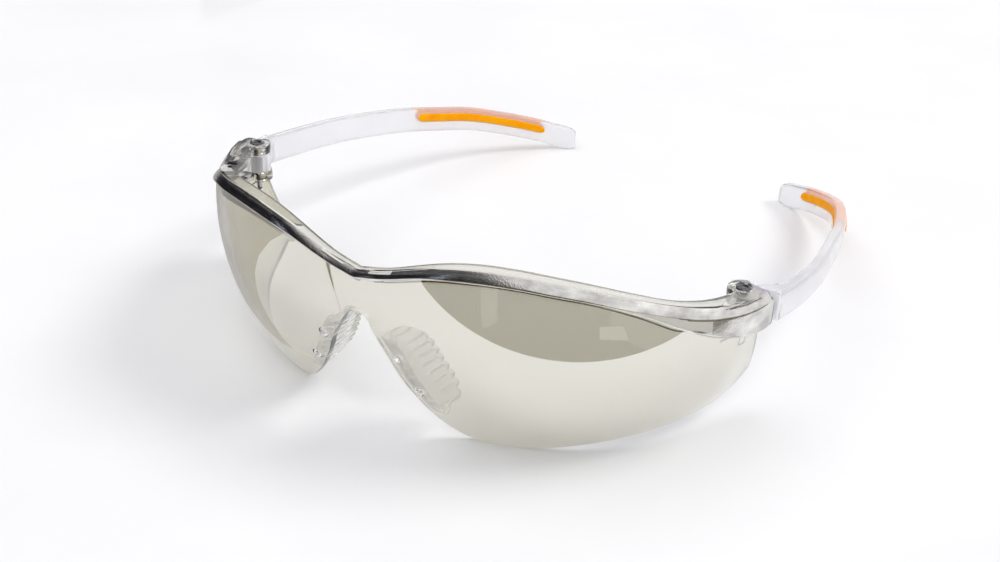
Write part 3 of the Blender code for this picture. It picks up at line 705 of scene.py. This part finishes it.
def soft_clear():
    """Clear soft plastic: satin, and a little cloudy."""
    nodes = Nodes("soft_clear_pad", IOR=1.48, Transmission_Weight=0.95)
    cloud = nodes.noise(260, detail=4)
    nodes.use(nodes.colours(cloud, (0.80, 0.80, 0.77), (0.90, 0.90, 0.88)), "Base Color")
    nodes.use(nodes.spread(nodes.noise(700, detail=3), 0.04, 0.14), "Roughness")
    nodes.bump(nodes.noise(1500, detail=2), strength=0.06, distance=0.0001)
    return nodes.material


def cloudy_plastic(name, clear):
    """Clear temple plastic with a faint lavender cloud, brushed soft by handling."""
    nodes = Nodes(name, IOR=1.5, Transmission_Weight=clear)
    cloud = nodes.noise(70, detail=3)
    nodes.use(nodes.colours(cloud, (0.94, 0.935, 0.965), (0.98, 0.975, 0.99)), "Base Color")
    nodes.use(nodes.spread(nodes.noise(400, detail=4), 0.12, 0.24), "Roughness")
    nodes.bump(nodes.noise(120, detail=3), strength=0.08, distance=0.0003)
    return nodes.material


def orange_rubber():
    nodes = Nodes("orange_rubber", Specular_IOR_Level=0.06)
    nodes.use(nodes.colours(nodes.noise(220, detail=5), (0.97, 0.33, 0.0), (1.0, 0.42, 0.002)), "Base Color")
    nodes.use(nodes.spread(nodes.noise(900, detail=3), 0.5, 0.65), "Roughness")
    nodes.bump(nodes.noise(2600, detail=3), strength=0.25, distance=0.0001)
    return nodes.material


def dark_steel():
    """Dark oxide steel, with fine turning lines and paler wear."""
    nodes = Nodes("dark_oxide_steel", Metallic=1.0)
    wear = nodes.noise(1500, detail=4)
    nodes.use(nodes.colours(wear, (0.06, 0.06, 0.07), (0.22, 0.22, 0.24)), "Base Color")
    nodes.use(nodes.spread(nodes.noise(1200, detail=4, stretch=(1, 1, 8)), 0.2, 0.42), "Roughness")
    nodes.bump(nodes.noise(3000, detail=2, stretch=(1, 1, 6)), strength=0.15, distance=0.00005)
    return nodes.material


def table_surface():
    nodes = Nodes("pale_table", Specular_IOR_Level=0.25)
    nodes.use(nodes.colours(nodes.noise(14, detail=4), (0.86, 0.86, 0.865), (0.90, 0.90, 0.90)), "Base Color")
    nodes.use(nodes.spread(nodes.noise(300, detail=4), 0.45, 0.6), "Roughness")
    nodes.bump(nodes.noise(900, detail=4), strength=0.05, distance=0.0002)
    return nodes.material


# ---------------------------------------------------------------- studio

def make_floor(material):
    bm = bmesh.new()
    bmesh.ops.create_grid(bm, x_segments=TABLE_SQUARES, y_segments=TABLE_SQUARES, size=TABLE_SIZE)
    floor = new_object(bm, "table_top")
    floor.location.z = -TABLE_BELOW
    floor.data.materials.append(material)


def reflected_panel(name, corners, colour):
    """A flat panel of even light, which shows only in reflections."""
    bm = bmesh.new()
    bm.faces.new([bm.verts.new(corner) for corner in corners])
    panel = new_object(bm, name)
    nodes = Nodes(name, Base_Color=(0.0, 0.0, 0.0), Roughness=1.0, Specular_IOR_Level=0.0,
                  Emission_Color=colour, Emission_Strength=1.0)
    panel.data.materials.append(nodes.material)
    for way in ("camera", "diffuse", "transmission", "volume_scatter", "shadow"):
        setattr(panel, f"visible_{way}", False)


def make_reflections():
    """A dim desk on the camera's side with paler things on it, a dim floor on the left, and a cool lamp."""
    for level, (name, outline, colour) in enumerate(PANELS):
        height = PANEL_HEIGHT + level * PANEL_STEP
        corners = [Vector((x * MM, HINGE_Y + y * MM, height)) for x, y in outline]
        reflected_panel(name, corners, colour)
    centre = Vector(LAMP_PLACE)
    turn = centre.to_track_quat("Z", "Y").to_matrix()
    corners = [centre + turn @ Vector((math.cos(t), math.sin(t), 0)) * LAMP_RADIUS
               for t in (2 * math.pi * i / LAMP_SIDES for i in range(LAMP_SIDES))]
    reflected_panel("reflected_lamp", corners, LAMP_LIGHT)


def make_world():
    """An even pale room. In reflections it is bright behind and to the right, and dark on the near side."""
    world = bpy.data.worlds.new("soft_room")
    world.use_nodes = True
    bpy.context.scene.world = world
    tree = world.node_tree
    place = tree.nodes.new("ShaderNodeTexCoord")
    dot = tree.nodes.new("ShaderNodeVectorMath")
    dot.operation = "DOT_PRODUCT"
    dot.inputs[1].default_value = Vector(BRIGHT_SIDE).normalized()
    tree.links.new(place.outputs["Generated"], dot.inputs[0])
    ramp = tree.nodes.new("ShaderNodeValToRGB")
    while len(ramp.color_ramp.elements) < len(ROOM_REFLECTED):
        ramp.color_ramp.elements.new(0.5)
    for element, (position, colour) in zip(ramp.color_ramp.elements, ROOM_REFLECTED):
        element.position, element.color = position, (*colour, 1.0)
    half = tree.nodes.new("ShaderNodeMapRange")
    half.inputs["From Min"].default_value, half.inputs["From Max"].default_value = -1.0, 1.0
    tree.links.new(dot.outputs["Value"], half.inputs["Value"])
    tree.links.new(half.outputs["Result"], ramp.inputs["Fac"])
    path = tree.nodes.new("ShaderNodeLightPath")

    def choose(fact, first, second):
        """The second colour where the ray is of this kind, and otherwise the first."""
        node = tree.nodes.new("ShaderNodeMixRGB")
        tree.links.new(path.outputs[fact], node.inputs["Fac"])
        for socket, colour in (("Color1", first), ("Color2", second)):
            if isinstance(colour, tuple):
                node.inputs[socket].default_value = (*colour, 1.0)
            else:
                tree.links.new(colour, node.inputs[socket])
        return node.outputs["Color"]

    lit = choose("Is Diffuse Ray", ROOM_SEEN, ROOM_LIGHT)
    mirrored = choose("Is Glossy Ray", lit, ramp.outputs["Color"])
    seen = choose("Is Transmission Ray", mirrored, ROOM_SEEN)
    tree.links.new(seen, tree.nodes["Background"].inputs["Color"])
    tree.nodes["Background"].inputs["Strength"].default_value = 1.0


def area_light(name, place, target, size, power, colour=(1, 1, 1)):
    data = bpy.data.lights.new(name, "AREA")
    data.shape, data.size, data.energy, data.color = "DISK", size, power, colour
    light = bpy.data.objects.new(name, data)
    light.location = place
    light.rotation_euler = (Vector(target) - Vector(place)).to_track_quat("-Z", "Y").to_euler()
    light.visible_glossy = False
    bpy.context.scene.collection.objects.link(light)


def make_camera():
    data = bpy.data.cameras.new("camera")
    data.sensor_width, data.lens = SENSOR_WIDTH, FOCAL_LENGTH
    camera = bpy.data.objects.new("camera", data)
    right, up = Vector(CAMERA_RIGHT), Vector(CAMERA_UP)
    turn = Matrix((right, up, right.cross(up))).transposed().to_4x4()
    place = (CAMERA_X, HINGE_Y - CAMERA_AHEAD, CAMERA_HEIGHT)
    camera.matrix_world = Matrix.Translation(place) @ turn
    bpy.context.scene.collection.objects.link(camera)
    bpy.context.scene.camera = camera


# ---------------------------------------------------------------- assembly

def place(obj, material, body, node, slot):
    obj.data.materials.clear()
    obj.data.materials.append(material)
    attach(obj, body)
    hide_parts(node)


def paint_coating(shield, moulded, brow, inner, rim_shade):
    """The coating is on what faces out, thickest along the brow; ledge, lugs and inner faces are bare. The
    block's rear rim gets a dark tint: painted shade.
    """
    for material in (moulded, brow, inner, rim_shade):
        shield.data.materials.append(material)
    for face in shield.data.polygons:
        centre, normal = face.center, face.normal
        side = 1 if centre.x > 0 else -1
        across = (centre.x - side * LENS_CENTRE.x) / LENS_RADIUS.x
        ahead = (centre.y - LENS_CENTRE.y) / LENS_RADIUS.y
        out = Vector((across / LENS_RADIUS.x, ahead / LENS_RADIUS.y, 0)).normalized()
        angle = max(BRIDGE_ANGLE, min(BLOCK_END, math.degrees(math.atan2(side * across, -ahead))))
        border = through(UPPER_BORDER, angle) * MM
        bevel = through(BROW_TOP, angle) * MM - BROW_BEVEL * BEVEL_COATED
        start = bevel + (border - bevel) * block_share(angle)
        facing = normal.dot(out)
        # The block's rear rim gets a dark bluish tint: painted shade along the edge
        if angle > BLOCK_END - REAR_RIM and abs(facing) < RIM_FACING:
            face.material_index = REAR_RIM_SHADE_LOOK
        elif facing > BROW_FACING and centre.z > start:
            face.material_index = BROW_LOOK
        elif facing > COATED_FACING:
            face.material_index = LENS_LOOK
        elif facing < -COATED_FACING and centre.z < border:
            face.material_index = INNER_LOOK
        else:
            face.material_index = MOULDED_LOOK


def frost_end(arm, frosted):
    """The flat end of the arm behind the hinge is left as it was cut: frosted."""
    arm.data.materials.append(frosted)
    for face in arm.data.polygons:
        behind = face.center.y - HINGE_Y
        near_front = KNUCKLE_RADIUS < behind < ARM_START * TEMPLE_REACH + ARM_THICKNESS
        if near_front and face.normal.y < -FROSTED_FACING:
            face.material_index = 1


def main():
    make_camera()
    make_world()
    make_floor(table_surface())
    make_reflections()
    area_light("window", (1.7, 1.3, 2.5), (0, 0, 0), size=1.5, power=44, colour=(1.0, 0.985, 0.955))
    area_light("overhead", (-1.1, -0.7, 2.8), (-0.1, -0.1, 0), size=3.0, power=28)
    area_light("front", (0.9, -2.0, 1.9), (0, 0, 0), size=2.4, power=17)

    lens, brow, steel = coated_lens(), coated_brow(), dark_steel()
    moulded = clear_plastic("clear_moulding", (0.81, 0.795, 0.74), 0.03)
    inner = clear_plastic("tinted_lens_back", (0.56, 0.54, 0.40), 0.015)
    # A dark bluish tint for the block's rear rim: painted shade
    rim_shade = clear_plastic("painted_shade_lens_edge", (0.42, 0.40, 0.52), 0.05)
    arm_plastic = cloudy_plastic("cloudy_temple_plastic", 0.7)
    frosted = cloudy_plastic("frosted_temple_end", 0.15)
    soft, orange = soft_clear(), orange_rubber()

    shield = make_shield()
    place(shield, lens, "front", "front_shield", "shield")
    paint_coating(shield, moulded, brow, inner, rim_shade)
    for side, word in SIDES:
        place(make_pad(side, word), soft, "front", f"nose_pad_{word}", "pad")
        place(make_pin(side, word), steel, "front", f"hinge_pin_{word}", "pin")
        arm = make_arm(side, word)
        place(arm, arm_plastic, f"{word}_temple", f"temple_{word}", "temple")
        frost_end(arm, frosted)
        place(make_grip(side, word), orange, f"{word}_temple", f"temple_grip_{word}", "grip")
    bpy.context.scene.view_settings.view_transform = "Standard"


main()
